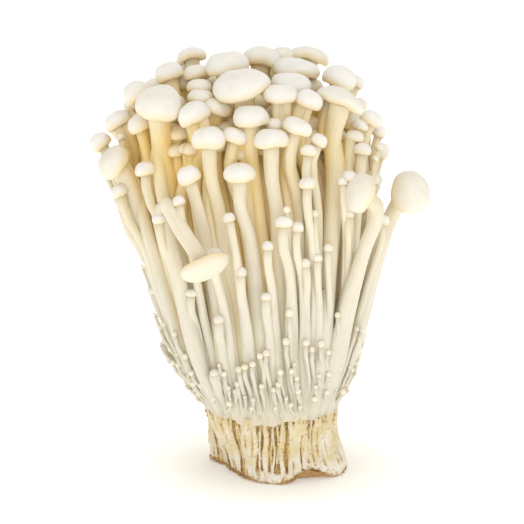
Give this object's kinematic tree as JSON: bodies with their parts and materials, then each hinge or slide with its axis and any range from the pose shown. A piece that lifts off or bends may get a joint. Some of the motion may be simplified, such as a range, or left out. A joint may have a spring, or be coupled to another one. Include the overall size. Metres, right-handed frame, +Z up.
{
  "type": "enoki mushroom bunch",
  "caption": "Bunch of enoki mushrooms as grown: small white caps on long slender cream stems that spread upwards from one ribbed mycelium block standing on a thin brown crust.",
  "frame": {"origin": "centre of the flat foot, on the surface that the bunch stands on", "axes": "+Z up along the stems, the side that the picture shows towards -Y, +X to the right in the picture"},
  "size_m": [0.1132, 0.0991, 0.1454],
  "materials": {
    "substrate_crust": "rough and crumbly, brown sawdust bound by mycelium",
    "mycelium_base": "matt felt, cream to ochre, with brown specks in its grooves",
    "mushrooms": "moist satin, warm white caps on ivory stems"
  },
  "bodies": {
    "root": {"substrate_crust": "substrate_crust", "mycelium_base": "mycelium_base", "mushrooms": "mushrooms"}
  },
  "joints": []
}
